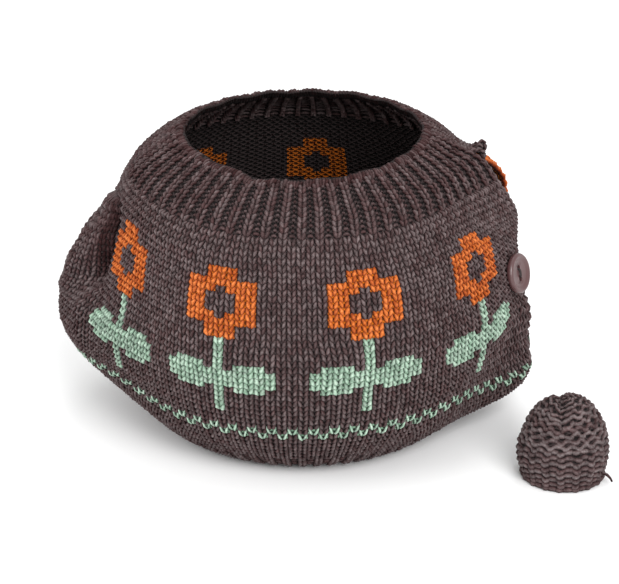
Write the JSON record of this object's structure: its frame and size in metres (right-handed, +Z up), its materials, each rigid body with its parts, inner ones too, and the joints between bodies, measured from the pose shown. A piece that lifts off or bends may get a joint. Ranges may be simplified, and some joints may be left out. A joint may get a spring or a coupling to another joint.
{
  "type": "tea cosy",
  "caption": "Knitted wool tea cosy with ribbed collar and hem, orange flowers on mint stems, openings for spout and handle, a button at the handle, and a cap for the lid's knob",
  "frame": {"origin": "the middle of the base of the box round the cosy and its cap, on the table; the cosy's own axis is 8.4 mm to the spout side of it", "axes": "+Z is up, -Y is the front with the pictured flowers, -X is the spout side and +X is the handle side with the button"},
  "size_m": [0.1706, 0.1324, 0.0944],
  "materials": {
    "charcoal_wool": "soft knitted wool, matt",
    "button_resin": "satin"
  },
  "bodies": {
    "root": {"cosy_body": "charcoal_wool", "button": "button_resin", "knob_cap": "charcoal_wool"}
  },
  "joints": []
}
